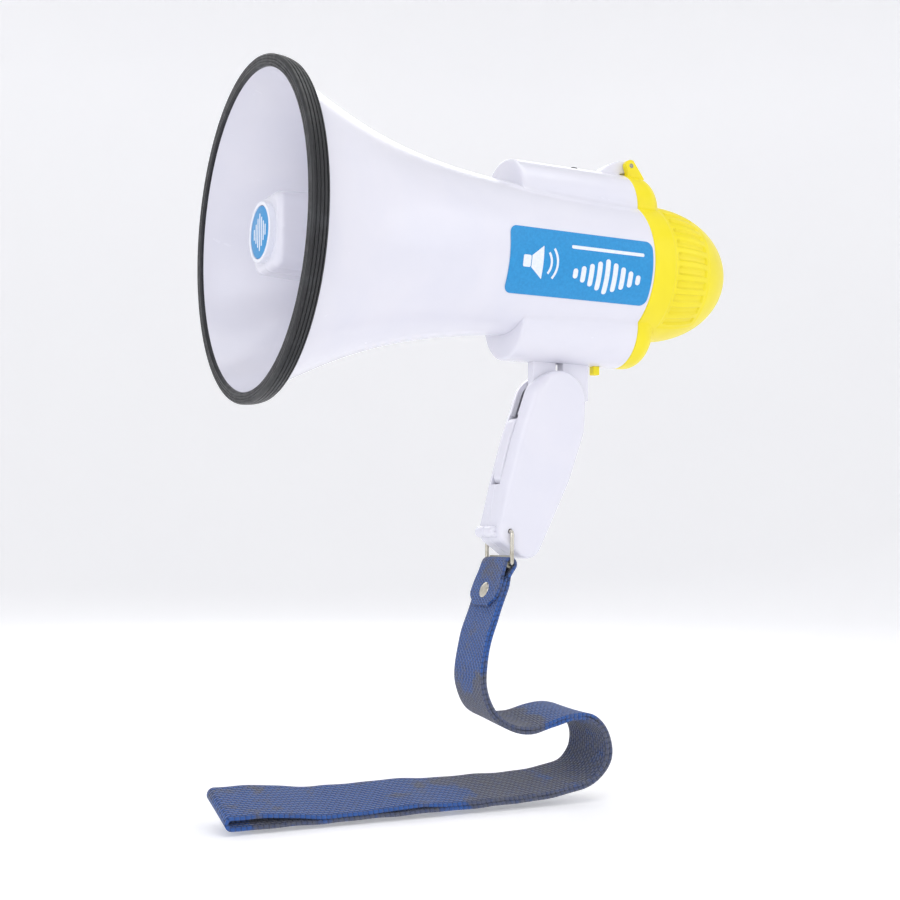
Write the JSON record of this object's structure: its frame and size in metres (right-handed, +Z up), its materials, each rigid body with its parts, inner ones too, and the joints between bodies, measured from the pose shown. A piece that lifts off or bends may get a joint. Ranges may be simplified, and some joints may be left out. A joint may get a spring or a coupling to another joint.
{
  "type": "handheld megaphone",
  "caption": "Small pistol-grip loudhailer: flared reflex horn with rubber rim, twin battery barrels, hinged rear cap, folding grip, trigger, wire ring and webbing wrist strap.",
  "frame": {"origin": "middle of the grip, where the hand holds it", "axes": "+X along the horn's axis from the bell to the rear cap, +Z up from the grip to the barrel, +Y to the side away from the label"},
  "size_m": [0.246, 0.144, 0.3128],
  "materials": {
    "shell_plastic": "glossy injection-moulded ABS, cool white",
    "rim_rubber": "soft black rubber, satin",
    "ring_plastic": "glossy white",
    "badge_print": "printed gloss film",
    "yellow_plastic": "satin ABS, fine grain",
    "zinc_steel": "zinc plated",
    "bright_wire": "nickel plated, slightly dull",
    "ferrite": "sintered, matt",
    "cone_film": "thin phenolic film",
    "cell_jacket": "printed foil jacket",
    "black_plastic": "moulded, matt",
    "circuit_board": "solder-masked glass epoxy",
    "red_plastic": "glossy red",
    "mic_foam": "open-cell foam",
    "webbing": "woven nylon webbing, blue and slate"
  },
  "bodies": {
    "grip": {"grip_shell_left": "shell_plastic", "grip_shell_right": "shell_plastic", "pivot_pin": "zinc_steel", "pivot_washers": "black_plastic", "grip_screws": "zinc_steel", "trigger_pin": "zinc_steel", "trigger_spring": "zinc_steel", "trigger_switch": "black_plastic", "wrist_strap": "webbing", "strap_rivet": "bright_wire"},
    "trigger": {"trigger": "shell_plastic"},
    "ring": {"strap_ring": "bright_wire", "ring_plate": "bright_wire"},
    "housing": {"horn_body": "shell_plastic", "rim_guard": "rim_rubber", "tone_tube": "shell_plastic", "reflector_plug": "shell_plastic", "plug_ring": "ring_plastic", "plug_badge": "badge_print", "driver_gasket": "rim_rubber", "driver_frame": "zinc_steel", "driver_diaphragm": "cone_film", "driver_magnet": "ferrite", "driver_screws": "zinc_steel", "upper_cells": "cell_jacket", "lower_cells": "cell_jacket", "upper_cell_tray": "black_plastic", "lower_cell_tray": "black_plastic", "tray_contacts": "zinc_steel", "amp_board": "circuit_board", "board_standoffs": "shell_plastic", "board_components": "black_plastic", "volume_pot": "black_plastic", "record_switch": "black_plastic", "function_switch": "zinc_steel", "side_label": "badge_print", "handle_bracket": "shell_plastic", "cap_hinge_pin": "zinc_steel"},
    "cap": {"rear_cap": "yellow_plastic", "cap_contacts": "zinc_steel", "mic_capsule": "zinc_steel", "mic_foam": "mic_foam"},
    "latch": {"latch_button": "yellow_plastic"},
    "volume": {"volume_wheel": "shell_plastic"},
    "record": {"record_button": "red_plastic"},
    "function": {"function_slider": "black_plastic"}
  },
  "joints": [
    {"name": "grip_fold", "type": "hinge", "parent": "grip", "child": "housing", "pos_m": [0.01107, 0, 0.03215], "axis": [0, -1, 0], "range_deg": [0, 55]},
    {"name": "trigger_pull", "type": "hinge", "parent": "grip", "child": "trigger", "pos_m": [-0.01181, 0, -0.00482], "axis": [0, 1, 0], "range_deg": [0, 4], "stiffness_Nm_per_rad": 1.2, "springref_deg": -2.86, "deforming": ["trigger_spring"]},
    {"name": "ring_swing", "type": "hinge", "parent": "grip", "child": "ring", "pos_m": [-0.01635, 0, -0.02843], "axis": [0, 1, 0], "range_deg": [-6, 60], "deforming": ["wrist_strap"]},
    {"name": "cap_open", "type": "hinge", "parent": "housing", "child": "cap", "pos_m": [0.05007, 0, 0.14445], "axis": [0, -1, 0], "range_deg": [0, 100]},
    {"name": "latch_press", "type": "slide", "parent": "housing", "child": "latch", "axis": [0, 0, 1], "range_m": [0, 0.0018], "stiffness_N_per_m": 400, "springref_m": -0.002},
    {"name": "volume_turn", "type": "hinge", "parent": "housing", "child": "volume", "pos_m": [0.03207, 0.0255, 0.09465], "axis": [0, 0, 1], "range_deg": [0, 270]},
    {"name": "record_press", "type": "slide", "parent": "housing", "child": "record", "axis": [0, -1, 0], "range_m": [0, 0.0012], "stiffness_N_per_m": 500, "springref_m": -0.001},
    {"name": "function_slide", "type": "slide", "parent": "housing", "child": "function", "axis": [1, 0, 0], "range_m": [-0.004, 0.004]}
  ]
}
